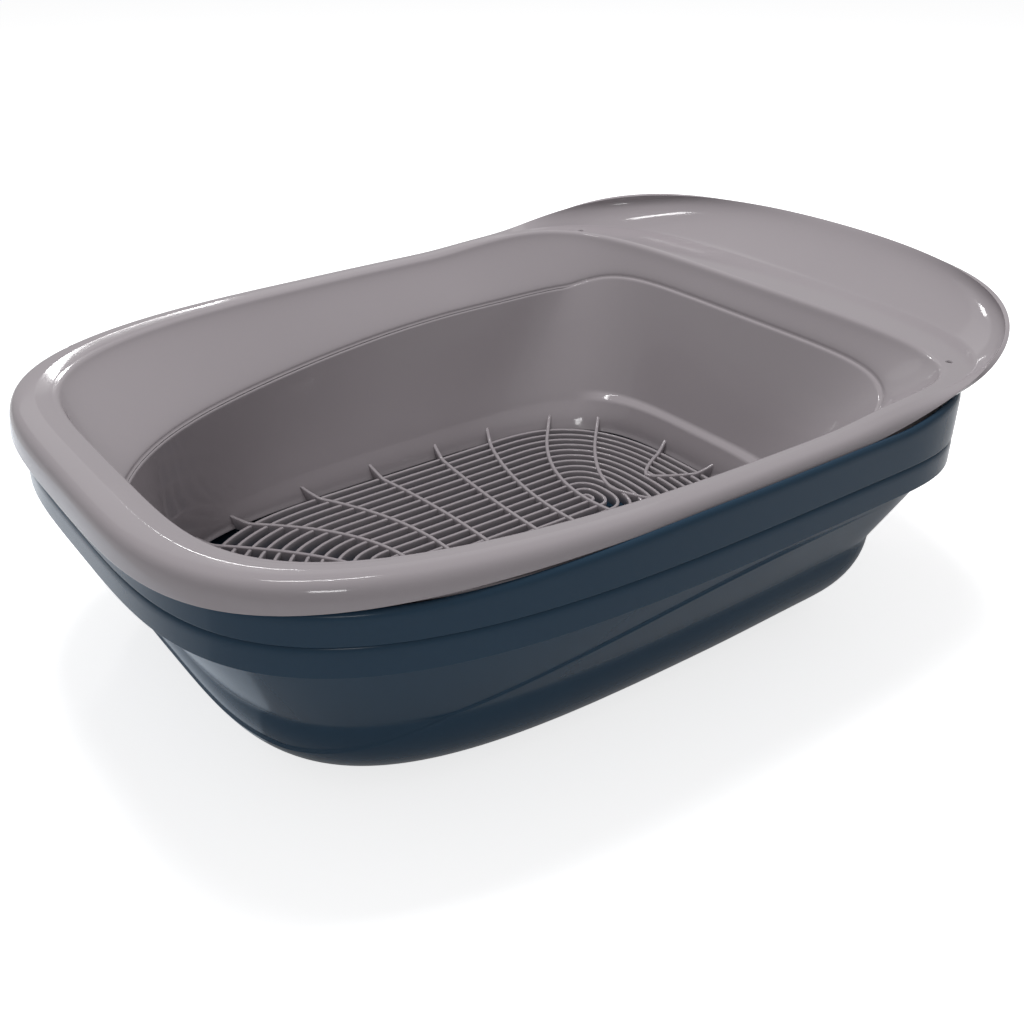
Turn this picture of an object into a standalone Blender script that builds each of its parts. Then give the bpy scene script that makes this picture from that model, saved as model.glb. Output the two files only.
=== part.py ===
"""Sifting litter box: two like pans, a sieve tray and a rim frame, nested and lifted apart along Z.

X runs along the box towards its high flare, Y across it and Z up. The base pan stands on Z = 0, and
the origin is under the middle of the rim. Every tray is a loft of closed outlines. An outline has a
low end at -X, a flared end at +X and two like sides, and is measured inwards from the rim's edge.
"""

import math

import bmesh
import bpy
import numpy as np

# Fits
seat_gap = 0.0003
nest_gap = 0.0006
hem_gap = 0.0009
bite = 0.0010

# Rim outline, and the plan's powers: how square its ends and sides are
rim_length = 0.584
rim_width = 0.4028
widest_share = 0.149
rim_power = (3.96, 3.38, 3.67, 2.12)
inner_power = (3.02, 4.29, 4.54, 4.48)
floor_power = (4.67, 4.10, 3.87, 3.40)
grille_power = (4.4, 3.6)
points_round = 64
sampling_points = 2001
sharp_degrees = 35

# Rim frame: heights over the floor, and how the edge dips at the low end and climbs to the flare
edge_height = 0.1494
edge_dip = 0.0083
flare_climb = 0.0357
dip_start_share = -0.086
dip_run_share = 0.428
dip_power = 2.3
crown_power = 1.6
climb_start_share = 0.077
climb_run_share = 0.454
crown_height = 0.0066
low_end_crown = 0.0158
crown_fade_share = 0.137
crown_fade_run_share = 0.205
shelf_height = 0.1574
shelf_start_share = 0.086
shelf_run_share = 0.257
low_end_land = 0.0263
side_land = 0.0144
flare_land = 0.0975
flare_set_back = 0.0070
inner_roll = 0.0048
frame_wall = 0.0024
skirt_low_run = 0.0079
skirt_side_run = 0.0253
skirt_flare_run = 0.0069
skirt_hem = 0.0030
skirt_power = (2.86, 6.00, 2.14, 1.32)
# Shares of the land's width at the low end, side and flare, of the crown, and of the flare's height
land_shares = (
    (0.00, 0.00, 0.012, 0.00, 1.00),
    (0.03, 0.06, 0.035, 0.55, 0.95),
    (0.15, 0.27, 0.10, 0.98, 0.83),
    (0.45, 0.50, 0.28, 1.06, 0.50),
    (0.75, 0.75, 0.50, 1.05, 0.18),
    (0.90, 0.90, 0.68, 1.00, 0.03),
    (1.00, 1.00, 0.96, 0.88, 0.00),
)
# The roll from the land into the skirt: shares of its run inwards and of its drop
roll_shares = ((0.62, 0.40), (1.00, 1.60))

# Small round holes in the rim: places as shares of the rim's half length and half width
hole_radius = 0.0020
hole_shares = ((-0.781, 0.804), (-0.709, -0.899), (0.620, -0.829), (0.620, 0.829))
hole_sides = 12

# Ledge between the frame's skirt and the sieve tray's wall
ledge_height = 0.1092
ledge_climb = 0.0110
ledge_climb_start_share = -0.272
ledge_climb_run_share = 0.366
ledge_end_climb = 0.0170
ledge_end_start_share = 0.245
ledge_end_run_share = 0.080
ledge_width = 0.0038

# Pans
pan_wall = 0.0024
band_height = 0.0161
pan_pitch = band_height + seat_gap
band_top = 0.1440
band_low_inset = 0.0062
band_flare_inset = 0.0744
band_side_inset = -0.0036
shoulder_inset = 0.0020
shoulder_height = 0.0036
shoulder_bend_share = 0.3
body_low_inset = 0.0415
body_flare_inset = 0.1245
body_side_inset = 0.0312
floor_round = 0.056
round_steps = 4

# Sieve tray
sieve_wall = 0.0017
flange_inset = 0.0019
skirt_clearance = 0.0035
lift_tab_reach = 0.0100
lift_tab_rise = 0.0050
lift_tab_corner = 0.0015
lift_tab_start_share = 0.315
lift_tab_run_share = 0.050
grille_height = 0.035
grille_low_reach = 0.198
grille_flare_reach = 0.1655
grille_width = 0.227
grille_centre_share = -0.0342
foot_run_in = 0.0035
foot_drop = 0.0030
foot_shares = ((0.48, 0.50), (0.80, 0.81), (0.94, 0.93))

# Grille
slat_width = 0.0026
slat_depth = 0.0085
loop_count = 13
loop_pitch = 0.0085
first_gap = 0.0062
loop_points = 32
loops_per_step = 4
loop_straight = 0.144
loop_power = (3.0, 2.6)
rib_width = 0.0030
rib_rise = 0.0012
rib_depth = 0.0042
fin_rise = 0.0070
fin_run = 0.0100
fin_reach = 0.0042
fin_power = 1.2
# Ribs that cross the grille, as shares of its flared reach: their place at its middle, and at its
# edge on the low and on the flared side
cross_rib_shares = ((0.103, 0.175, 0.150), (0.260, 0.500, 0.430), (0.423, 0.880, 0.800))
cross_rib_power = 2.0
# Ribs that arch round each end: apex as a share of the flared reach, and how sharply each opens
arch_rib_shares = ((0.570, 0.880), (0.767, 0.230))
arch_power = 1.5
arch_end_share = 1.04
arch_limit_share = 1.2
rib_points = 13
path_points = 801

half_length = rim_length / 2
half_width = rim_width / 2
widest_x = widest_share * rim_length
grille_x = grille_centre_share * rim_length

# Finishes, as linear colours
blue_colour = (0.046, 0.068, 0.096)
grey_colour = (0.33, 0.30, 0.32)
blue_roughness = 0.30
grey_roughness = 0.28


def ease(value):
    """A smooth step from 0 to 1 while value runs from 0 to 1."""
    value = np.clip(value, 0.0, 1.0)
    return value * value * (3 - 2 * value)


def curve(inset, power, angle):
    """The outline at these inward insets (low end, flare, side), as arrays of x and y.

    It is a superellipse whose half length and powers change between its two ends.
    """
    low, flare, side = inset
    power_low, power_flare, side_power_low, side_power_flare = power
    cosine = np.cos(angle)
    sine = np.sin(angle)
    forward = cosine > 0
    reach = np.where(forward, half_length - widest_x - flare, half_length + widest_x - low)
    end_power = np.where(forward, power_flare, power_low)
    side_power = np.where(forward, side_power_flare, side_power_low)
    x = widest_x + reach * np.sign(cosine) * np.abs(cosine) ** (2 / end_power)
    y = (half_width - side) * np.sign(sine) * np.abs(sine) ** (2 / side_power)
    return x, y


def spread_angles(count):
    """Angles that space the rim's points evenly, by length and by how much the outline turns."""
    dense = np.linspace(0, math.pi / 2, sampling_points)
    quarters = []
    for start in (0, math.pi / 2):
        x, y = curve((0, 0, 0), rim_power, start + dense)
        step_x = np.diff(x)
        step_y = np.diff(y)
        length = np.hypot(step_x, step_y)
        heading = np.unwrap(np.arctan2(step_y, step_x))
        turn = np.abs(np.diff(heading, prepend=heading[0]))
        weight = length / length.sum() + turn / turn.sum()
        travelled = np.concatenate([[0], np.cumsum(weight)])
        wanted = np.linspace(0, travelled[-1], count // 4 + 1)[:-1]
        quarters.append(start + np.interp(wanted, travelled, dense))
    top = np.concatenate(quarters + [[math.pi]])
    return np.concatenate([top, 2 * math.pi - top[-2:0:-1]])


angles = spread_angles(points_round)


def edge_line(x):
    """Height of the rim's lower edge: it dips at the low end and climbs to the flare."""
    dip = np.clip((dip_start_share * rim_length - x) / (dip_run_share * rim_length), 0, None)
    climb = ease((x - climb_start_share * rim_length) / (climb_run_share * rim_length))
    return edge_height - edge_dip * dip**dip_power + flare_climb * climb


def crown_line(x):
    """Height of the rim's crown over its edge: it deepens at the low end and fades at the flare."""
    deepen = np.clip((dip_start_share * rim_length - x) / (dip_run_share * rim_length), 0, None)
    fade = 1 - ease((x - crown_fade_share * rim_length) / (crown_fade_run_share * rim_length))
    return (crown_height + (low_end_crown - crown_height) * deepen**crown_power) * fade


def shelf_blend(x):
    """0 along the low rim and 1 where the shelf and flare have taken over."""
    return ease((x - shelf_start_share * rim_length) / (shelf_run_share * rim_length))


def ledge_line(x):
    """Height of the ledge: it climbs a little along the sides, and more at the flare end's corners."""
    climb = ease((x - ledge_climb_start_share * rim_length) / (ledge_climb_run_share * rim_length))
    end_climb = ease((x - ledge_end_start_share * rim_length) / (ledge_end_run_share * rim_length))
    return ledge_height + ledge_climb * climb + ledge_end_climb * end_climb


def mixed(first, second, share):
    """Each entry of first and second mixed, second counting for share."""
    return tuple(a + (b - a) * share for a, b in zip(first, second))


def grown(inset, more):
    """An outline's insets, each larger by more."""
    return tuple(value + more for value in inset)


def ring(inset, power, height):
    """One outline as points; height is one number, one for each point, or a function of x."""
    x, y = curve(inset, power, angles)
    z = height(x) if callable(height) else np.full_like(x, height)
    return np.column_stack([x, y, z])


def lofted(name, rings, floors=False):
    """A mesh object through rings of equal point counts, with flat floors at both ends on request.

    Faces point up where the rings run inwards, and out where they run upwards.
    """
    mesh = bpy.data.meshes.new(name)
    builder = bmesh.new()
    rows = [[builder.verts.new(point) for point in points] for points in rings]
    count = len(rows[0])
    for lower, upper in zip(rows, rows[1:]):
        for i in range(count):
            j = (i + 1) % count
            builder.faces.new((lower[i], lower[j], upper[j], upper[i]))
    if floors:
        builder.faces.new(rows[0][::-1])
        builder.faces.new(rows[-1])
    builder.to_mesh(mesh)
    builder.free()
    mesh.shade_smooth()
    mesh.set_sharp_from_angle(angle=math.radians(sharp_degrees))
    return bpy.data.objects.new(name, mesh)


def plastic(name, colour, roughness):
    """A moulded plastic: its colour is linear, and it has no metal in it."""
    material = bpy.data.materials.new(name)
    material.use_nodes = True
    shader = material.node_tree.nodes["Principled BSDF"]
    shader.inputs["Base Color"].default_value = (*colour, 1.0)
    shader.inputs["Roughness"].default_value = roughness
    shader.inputs["Metallic"].default_value = 0.0
    material.diffuse_color = (*colour, 1.0)
    return material


def body_section(wall):
    """Insets and heights of a pan's body over its floor, from the floor's edge up to its knee."""
    knee = (body_low_inset, body_flare_inset, body_side_inset)
    section = []
    for step in range(round_steps + 1):
        turn = math.radians(90) * step / round_steps
        inwards = floor_round * (1 - math.sin(turn)) + wall * math.sin(turn)
        height = floor_round * (1 - math.cos(turn)) + wall * math.cos(turn)
        section.append((grown(knee, inwards), height))
    return section


def pan(name, lift):
    """One pan: floor, rounded foot, sloping body, a step out to the upright band and its shoulder."""
    band = (band_low_inset, band_flare_inset, band_side_inset)
    step_width = shoulder_inset + pan_wall + nest_gap
    bend = grown(band, shoulder_inset * shoulder_bend_share)
    step_height = band_top - pan_pitch - band_height
    straight = band_height - shoulder_height
    rows = [ring(inset, floor_power, height) for inset, height in body_section(0)]
    bend_height = step_height + band_height - shoulder_height * shoulder_bend_share
    rows += [
        ring(grown(band, step_width), rim_power, step_height),
        ring(band, rim_power, step_height),
        ring(band, rim_power, step_height + straight),
        ring(bend, rim_power, bend_height),
        ring(grown(band, shoulder_inset), rim_power, step_height + band_height),
        ring(grown(band, shoulder_inset + pan_wall), rim_power, step_height + band_height),
        ring(grown(band, pan_wall), rim_power, step_height + straight),
        ring(grown(band, pan_wall), rim_power, step_height + pan_wall),
        ring(grown(band, step_width + pan_wall), rim_power, step_height + pan_wall),
    ]
    inside = reversed(body_section(pan_wall))
    rows += [ring(inset, floor_power, height) for inset, height in inside]
    made = lofted(name, rows, floors=True)
    made.location.z = lift
    return made


def land_rings():
    """The rim frame's land, from the lip's lower edge in to the top of the skirt."""
    rows = []
    for low, side, flare, crown, rise in land_shares:
        reach = flare_set_back + flare * (flare_land - flare_set_back)
        inset = (low * low_end_land, reach, side * side_land)

        def height(x, crown=crown, rise=rise):
            along_rim = edge_line(x) + crown_line(x) * crown
            on_flare = shelf_height + (edge_line(x) - shelf_height) * rise
            return along_rim + (on_flare - along_rim) * shelf_blend(x)

        rows.append((inset, mixed(rim_power, inner_power, side), height))
    return rows


def skirt_rings():
    """The roll into the skirt and the skirt's foot on the ledge, as insets, powers and heights."""
    inset, power, land = land_rings()[-1]
    rows = []
    for run, drop in roll_shares:

        def height(x, drop=drop):
            return land(x) - inner_roll * drop

        rows.append((grown(inset, inner_roll * run), power, height))
    low, flare, side = rows[-1][0]
    foot = (low + skirt_low_run, flare + skirt_flare_run, side + skirt_side_run)
    rows.append((foot, skirt_power, lambda x: ledge_line(x) + skirt_hem))
    rows.append((foot, skirt_power, lambda x: ledge_line(x) + hem_gap))
    return rows


def solidified(made, thickness):
    """Gives an open surface its thickness on the side away from its normals."""
    shell = made.modifiers.new("thickness", "SOLIDIFY")
    shell.thickness = thickness
    shell.offset = -1
    shell.use_even_offset = True
    shell.use_quality_normals = True
    return made


def hole_cutter(index, place):
    """A cutter for one of the rim's small holes."""
    builder = bmesh.new()
    bmesh.ops.create_cone(
        builder,
        cap_ends=True,
        segments=hole_sides,
        radius1=hole_radius,
        radius2=hole_radius,
        depth=flare_climb,
    )
    mesh = bpy.data.meshes.new("hole_cutter")
    builder.to_mesh(mesh)
    builder.free()
    cutter = bpy.data.objects.new(f"hole_cutter_{index}", mesh)
    cutter.location = (place[0] * half_length, place[1] * half_width, edge_height + crown_height)
    return cutter


def rim_frame(cutters):
    """The crowned rim with its lip, shelf, flare and skirt, as one shell with four small holes."""
    rows = [ring(*section) for section in land_rings() + skirt_rings()]
    made = lofted("rim_frame", rows)
    solidified(made, frame_wall)
    for index, place in enumerate(hole_shares, 1):
        cutter = hole_cutter(index, place)
        cutters.objects.link(cutter)
        cutter.display_type = "WIRE"
        cutter.hide_render = True
        hole = made.modifiers.new(f"hole_{index}", "BOOLEAN")
        hole.operation = "DIFFERENCE"
        hole.object = cutter
    return made


def end_values(forward, low_and_flare):
    """The flared end's value where forward, and the low end's elsewhere."""
    low, flare = low_and_flare
    return np.where(forward, flare, low)


def grille_outline(margin):
    """The grille's edge drawn in by margin, as arrays of x and y."""
    cosine = np.cos(angles)
    sine = np.sin(angles)
    reach = end_values(cosine > 0, (grille_low_reach, grille_flare_reach)) - margin
    power = end_values(cosine > 0, grille_power)
    width = grille_width / 2 - margin
    x = grille_x + reach * np.sign(cosine) * np.abs(cosine) ** (2 / power)
    y = width * np.sign(sine) * np.abs(sine) ** (2 / power)
    return x, y


def slat_outline(margin, turn):
    """A slat's route, with straight sides and round ends, as arrays of x and y.

    The sides lie margin inside the grille's edge, and the ends draw in by the same share of their reach.
    """
    share = 1 - margin / (grille_width / 2)
    cosine = np.cos(turn)
    sine = np.sin(turn)
    reach = end_values(cosine > 0, (grille_low_reach, grille_flare_reach)) - loop_straight / 2
    power = end_values(cosine > 0, loop_power)
    round_end = reach * share * np.abs(cosine) ** (2 / power)
    x = grille_x + np.sign(cosine) * (loop_straight / 2 + round_end)
    y = grille_width / 2 * share * np.sign(sine) * np.abs(sine) ** (2 / power)
    return x, y


def sieve_rings():
    """The sieve tray's upper surface from its flange's edge to the foot of its wall."""
    band = (band_low_inset, band_flare_inset, band_side_inset)
    seat = grown(band, shoulder_inset + flange_inset)
    tab = (seat[0], band_flare_inset - lift_tab_reach, seat[2])
    flange_top = band_top + nest_gap + sieve_wall

    def tab_height(x):
        rise = ease((x - lift_tab_start_share * rim_length) / (lift_tab_run_share * rim_length))
        return flange_top + lift_tab_rise * rise

    sections = skirt_rings()
    top_inset, power, _ = sections[1]
    foot_inset = sections[2][0]
    level = ring(foot_inset, skirt_power, ledge_line)[:, 2]
    rows = [
        ring(tab, rim_power, tab_height),
        ring(grown(tab, lift_tab_corner), rim_power, flange_top),
        ring(grown(top_inset, -skirt_clearance - nest_gap), power, flange_top),
        ring(grown(foot_inset, -skirt_clearance), skirt_power, level),
        ring(grown(foot_inset, ledge_width), skirt_power, level),
    ]
    ledge = rows[-1]
    x, y = grille_outline(0)
    foot = np.column_stack([x, y, np.full_like(x, grille_height)])
    for inwards, drop in foot_shares:
        share = np.array([inwards, inwards, drop])
        rows.append(ledge + (foot - ledge) * share)
    rows.append(foot)
    x, y = grille_outline(foot_run_in)
    rows.append(np.column_stack([x, y, np.full_like(x, grille_height - foot_drop)]))
    return rows


def strip_loop(name, margin, count):
    """A closed slat, flat on top and tapered to its foot."""
    turn = np.linspace(0, 2 * math.pi, count, endpoint=False) + math.pi / count
    rows = []
    for side, height in ((0, 0), (slat_width, 0), (slat_width / 2, -slat_depth)):
        x, y = slat_outline(margin + side, turn)
        rows.append(np.column_stack([x, y, np.full_like(x, grille_height + height)]))
    return closed_strip(name, rows)


def closed_strip(name, corners):
    """A solid ring from its corner lines, each an array of points round the ring."""
    mesh = bpy.data.meshes.new(name)
    builder = bmesh.new()
    rows = [[builder.verts.new(point) for point in line] for line in corners]
    count = len(rows[0])
    for k, first in enumerate(rows):
        second = rows[(k + 1) % len(rows)]
        for i in range(count):
            j = (i + 1) % count
            builder.faces.new((first[i], first[j], second[j], second[i]))
    bmesh.ops.recalc_face_normals(builder, faces=builder.faces)
    builder.to_mesh(mesh)
    builder.free()
    return bpy.data.objects.new(name, mesh)


def open_strip(name, path):
    """A rib along path, with a fin at each end that leans out with the wall above the floor."""
    ahead = np.gradient(path, axis=0)
    ahead /= np.linalg.norm(ahead, axis=1)[:, None]
    across = np.column_stack([-ahead[:, 1], ahead[:, 0]])
    along = np.concatenate([[0], np.cumsum(np.linalg.norm(np.diff(path, axis=0), axis=1))])
    from_end = np.minimum(along, along[-1] - along)
    rise = fin_rise * np.clip(1 - from_end / fin_run, 0, 1) ** fin_power
    outwards = np.where(along < along[-1] / 2, -1.0, 1.0) * (from_end == 0)
    top = grille_height + rib_rise + rise
    low = np.full_like(top, grille_height - rib_depth)
    mesh = bpy.data.meshes.new(name)
    builder = bmesh.new()
    rows = []
    for side, height, lean in (
        (-1, top, fin_reach),
        (1, top, fin_reach),
        (1, low, -foot_run_in),
        (-1, low, -foot_run_in),
    ):
        place = path + across * side * rib_width / 2 + ahead * (outwards * lean)[:, None]
        rows.append([builder.verts.new((x, y, z)) for (x, y), z in zip(place, height)])
    for k in range(4):
        first = rows[k]
        second = rows[(k + 1) % 4]
        for i in range(len(path) - 1):
            builder.faces.new((first[i], first[i + 1], second[i + 1], second[i]))
    builder.faces.new([row[0] for row in rows])
    builder.faces.new([row[-1] for row in rows])
    bmesh.ops.recalc_face_normals(builder, faces=builder.faces)
    builder.to_mesh(mesh)
    builder.free()
    return bpy.data.objects.new(name, mesh)


def inside_share(x, y):
    """How far out a point lies: 1 on the grille's edge."""
    forward = x > grille_x
    along = np.abs(x - grille_x) / end_values(forward, (grille_low_reach, grille_flare_reach))
    across = np.abs(y) * 2 / grille_width
    power = end_values(forward, grille_power)
    return along**power + across**power


def trimmed(x, y):
    """The stretch of a path inside the grille's edge and a bite past it, evenly spaced."""
    reach = inside_share(x, y)
    kept = np.flatnonzero(reach <= 1)
    first = max(kept[0] - 1, 0)
    last = min(kept[-1] + 1, len(x) - 1)
    path = np.column_stack([x, y])[first : last + 1]
    along = np.concatenate([[0], np.cumsum(np.linalg.norm(np.diff(path, axis=0), axis=1))])
    wanted = np.linspace(0, along[-1], rib_points)
    made = np.column_stack([np.interp(wanted, along, path[:, k]) for k in (0, 1)])
    for end, inner in ((0, 1), (-1, -2)):
        step = made[end] - made[inner]
        made[end] += step / np.linalg.norm(step) * bite
    return made


def rib_paths():
    """Plan paths of the ribs: six that cross the grille and two arches round each of its ends."""
    half = grille_flare_reach
    wide = grille_width / 2
    y = np.linspace(-wide, wide, path_points)
    paths = []
    for middle, low_edge, flare_edge in cross_rib_shares:
        for side, edge in ((-1, low_edge), (1, flare_edge)):
            bow = (middle + (edge - middle) * (np.abs(y) / wide) ** cross_rib_power) * half
            paths.append(trimmed(grille_x + side * bow, y))
    for apex, opening in arch_rib_shares:
        spread = (np.abs(y) / (wide * opening)) ** arch_power
        bow = (apex + spread * (arch_end_share - apex)) * half
        near = bow < half * arch_limit_share
        paths += [trimmed(grille_x + side * bow[near], y[near]) for side in (-1, 1)]
    return paths


def grille_strips(strips):
    """The slats and ribs, put in the collection that the sieve tray is joined with."""
    for index in range(loop_count):
        count = loop_points - loops_per_step * (index // loops_per_step)
        margin = first_gap + index * loop_pitch
        strips.objects.link(strip_loop(f"slat_{index + 1}", margin, count))
    for index, path in enumerate(rib_paths(), 1):
        strips.objects.link(open_strip(f"rib_{index}", path))
    for strip in strips.objects:
        strip.display_type = "WIRE"
        strip.hide_render = True


def sieve_tray(strips):
    """The sieve tray: flange, lift tab, ledge and wall as a shell, joined with its slats and ribs."""
    made = lofted("sieve_tray", sieve_rings())
    solidified(made, sieve_wall)
    grille_strips(strips)
    joined = made.modifiers.new("grille", "BOOLEAN")
    joined.operation = "UNION"
    joined.operand_type = "COLLECTION"
    joined.collection = strips
    joined.solver = "EXACT"
    return made


def main():
    for old in list(bpy.data.objects):
        bpy.data.objects.remove(old)
    scene = bpy.context.scene.collection
    parts = bpy.data.collections.new("sifting_litter_box")
    cutters = bpy.data.collections.new("cutters")
    strips = bpy.data.collections.new("grille_strips")
    for collection in (parts, cutters, strips):
        scene.children.link(collection)
    blue = plastic("blue_plastic", blue_colour, blue_roughness)
    grey = plastic("grey_plastic", grey_colour, grey_roughness)
    centre = bpy.data.objects.new("sifting_litter_box", None)
    centre.location.x = flare_set_back / 2
    parts.objects.link(centre)
    nest = [
        (pan("base_pan", 0), blue),
        (pan("litter_pan", pan_pitch), blue),
        (sieve_tray(strips), grey),
        (rim_frame(cutters), grey),
    ]
    for made, material in nest:
        made.data.materials.append(material)
        made.parent = centre
        parts.objects.link(made)
    print(len(nest), "pieces:", ", ".join(made.name for made, _ in nest))


main()
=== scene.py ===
# %% [markdown]
# A sifting litter box is a nest of moulded plastic trays: two blue pans, a grey tray whose floor is
# a sieve, and a grey rim frame with a high flare at one end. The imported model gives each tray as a
# plain solid on the body that it lifts with. This lesson dresses each one with a finer skin of the
# same size, in the same place, and then lights it as a studio would.

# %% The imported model
import math

import bpy
import numpy as np
from mathutils import Matrix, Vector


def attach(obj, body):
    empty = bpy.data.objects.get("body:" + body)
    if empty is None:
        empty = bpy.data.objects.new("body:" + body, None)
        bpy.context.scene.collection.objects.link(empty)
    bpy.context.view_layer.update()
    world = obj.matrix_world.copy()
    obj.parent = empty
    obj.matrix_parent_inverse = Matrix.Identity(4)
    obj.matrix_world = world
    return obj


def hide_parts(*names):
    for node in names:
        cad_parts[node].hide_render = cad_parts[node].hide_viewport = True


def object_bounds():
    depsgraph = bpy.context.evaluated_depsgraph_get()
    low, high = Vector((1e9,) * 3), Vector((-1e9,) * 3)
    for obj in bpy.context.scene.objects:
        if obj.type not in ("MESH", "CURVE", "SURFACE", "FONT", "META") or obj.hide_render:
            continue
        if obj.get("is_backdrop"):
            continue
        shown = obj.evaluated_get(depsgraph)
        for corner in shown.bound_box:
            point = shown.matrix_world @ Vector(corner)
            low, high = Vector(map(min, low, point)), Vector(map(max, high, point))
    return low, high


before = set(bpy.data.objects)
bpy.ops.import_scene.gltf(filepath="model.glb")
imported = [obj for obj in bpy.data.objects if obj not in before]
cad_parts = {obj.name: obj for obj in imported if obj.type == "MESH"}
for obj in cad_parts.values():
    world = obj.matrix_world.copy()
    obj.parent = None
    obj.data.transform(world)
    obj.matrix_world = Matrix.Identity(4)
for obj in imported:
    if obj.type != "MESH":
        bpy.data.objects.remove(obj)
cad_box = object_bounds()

print("size in mm:", [round((high - low) * 1000, 1) for low, high in zip(*cad_box)])

# %% [markdown]
# Every tray follows the same plan: an oval that is squarer at its ends than an ellipse. Such a
# superellipse is a circle whose cosine and sine are raised to a power. The box has a low end at -X
# and a flared end at +X, so each half has its own length and powers. The outlines of one tray differ
# only in how far they lie in from the rim's edge, so an outline is named by three insets: at the low
# end, at the flare and at the sides.

# %% The plan's sizes
rim_length = 0.584
rim_width = 0.4028
widest_x = 0.149 * rim_length
centre_shift = 0.0035
rim_power = (3.96, 3.38, 3.67, 2.12)
inner_power = (3.02, 4.29, 4.54, 4.48)
skirt_power = (3.06, 4.81, 1.83, 5.43)
floor_power = (4.67, 4.10, 3.87, 3.40)
points_round = 384


def powered(value, power):
    """A cosine or sine raised to 2 / power, with its sign kept."""
    return np.sign(value) * np.abs(value) ** (2 / power)


def outline(inset, power, turns):
    """The plan curve at these insets, as x and y.

    x is the widest place plus the half's reach times the powered cosine, and y is the half width
    times the powered sine. The reach and the powers are those of the half that the point is in.
    """
    low, flare, side = inset
    cosine = np.cos(turns)
    sine = np.sin(turns)
    ahead = cosine > 0
    reach = np.where(ahead, rim_length / 2 - widest_x - flare, rim_length / 2 + widest_x - low)
    x = widest_x + reach * powered(cosine, np.where(ahead, power[1], power[0]))
    y = (rim_width / 2 - side) * powered(sine, np.where(ahead, power[3], power[2]))
    return x, y


def even_turns(count):
    """Turns whose points lie evenly by the rim's length and by how much it bends."""
    dense = np.linspace(0, math.pi / 2, 4001)
    quarters = []
    for start in (0, math.pi / 2):
        x, y = outline((0, 0, 0), rim_power, start + dense)
        heading = np.unwrap(np.arctan2(np.diff(y), np.diff(x)))
        bend = np.abs(np.diff(heading, prepend=heading[0]))
        length = np.hypot(np.diff(x), np.diff(y))
        travelled = np.concatenate([[0], np.cumsum(length / length.sum() + bend / bend.sum())])
        wanted = np.linspace(0, travelled[-1], count // 4 + 1)[:-1]
        quarters.append(start + np.interp(wanted, travelled, dense))
    top = np.concatenate(quarters + [[math.pi]])
    return np.concatenate([top, 2 * math.pi - top[-2:0:-1]])


turns = even_turns(points_round)
print(len(turns), "points round each outline")

# %% [markdown]
# A skin is a grid of points: rows that run over the tray's profile, and points that run round it.
# A moulding has no sharp corners, so the profile is first written as a few stations, and then each
# corner gives way to a short curve. Where the reach of that curve is as long as its sides, the
# stations only steer it and the whole profile is one soft sweep, as on the crown of the rim.

# %% Tools for skins
def ease(value):
    """A smooth step from 0 to 1 while value runs from 0 to 1: 3 v squared less 2 v cubed."""
    value = np.clip(value, 0, 1)
    return value * value * (3 - 2 * value)


def grown(inset, more):
    """The same outline's insets, each larger by more."""
    return tuple(value + more for value in inset)


def station(inset, power, height):
    """One outline as points; its height is a number, an array or a function of x."""
    x, y = outline(inset, power, turns)
    z = height(x) if callable(height) else np.broadcast_to(height, x.shape)
    return np.column_stack([x + centre_shift, y, z])


def unit(vectors):
    """The vectors divided by their lengths."""
    return vectors / np.maximum(np.linalg.norm(vectors, axis=-1, keepdims=True), 1e-12)


# The most of a side that a corner's curve takes, where its outer row lies, and a mitre's least divisor
most_reach_share = 0.47
outer_row_share = 1.3
most_outer_share = 0.49
least_mitre = 0.8


def rounded(stations, reaches, steps=5, loop=False):
    """A profile with its corners rounded.

    A corner P between A and B, the points a reach away from it on its two sides, becomes the curve
    (1 - t) squared A + 2 t (1 - t) P + t squared B. A row just outside each curve keeps the flats flat.
    A station whose reach is 0 stays as one row.
    """
    t = np.linspace(0, 1, steps)[:, None, None]
    count = len(stations)
    rows = []
    for k, here in enumerate(stations):
        if reaches[k] == 0 or not loop and k in (0, count - 1):
            rows.append(here[None])
            continue
        sides = [stations[k - 1] - here, stations[(k + 1) % count] - here]
        lengths = [np.linalg.norm(side, axis=1, keepdims=True) for side in sides]
        shares = [np.minimum(reaches[k] / np.maximum(length, 1e-9), most_reach_share) for length in lengths]
        a, b = (here + side * share for side, share in zip(sides, shares))
        outer = [
            here + side * np.minimum(share * outer_row_share, most_outer_share)
            for side, share in zip(sides, shares)
        ]
        arc = (1 - t) ** 2 * a + 2 * t * (1 - t) * here + t * t * b
        rows += [outer[0][None], arc, outer[1][None]]
    return np.concatenate(rows)


def swept(stations, steps):
    """Rows of a cubic B-spline that the stations steer, from the first to the last of them.

    Between P1 and P2, with P0 before and P3 after, a row is this mix of the four:
    ((1 - t)^3 P0 + (3 t^3 - 6 t^2 + 4) P1 + (-3 t^3 + 3 t^2 + 3 t + 1) P2 + t^3 P3) / 6.
    """
    t = np.linspace(0, 1, steps, endpoint=False)[:, None, None]
    weights = ((1 - t) ** 3, 3 * t**3 - 6 * t**2 + 4, -3 * t**3 + 3 * t**2 + 3 * t + 1, t**3)
    steer = [2 * stations[0] - stations[1], *stations, 2 * stations[-1] - stations[-2]]
    rows = [
        (weights[0] * a + weights[1] * b + weights[2] * c + weights[3] * d) / 6
        for a, b, c, d in zip(steer, steer[1:], steer[2:], steer[3:])
    ]
    return [row for span in rows for row in span] + [stations[-1]]


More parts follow.
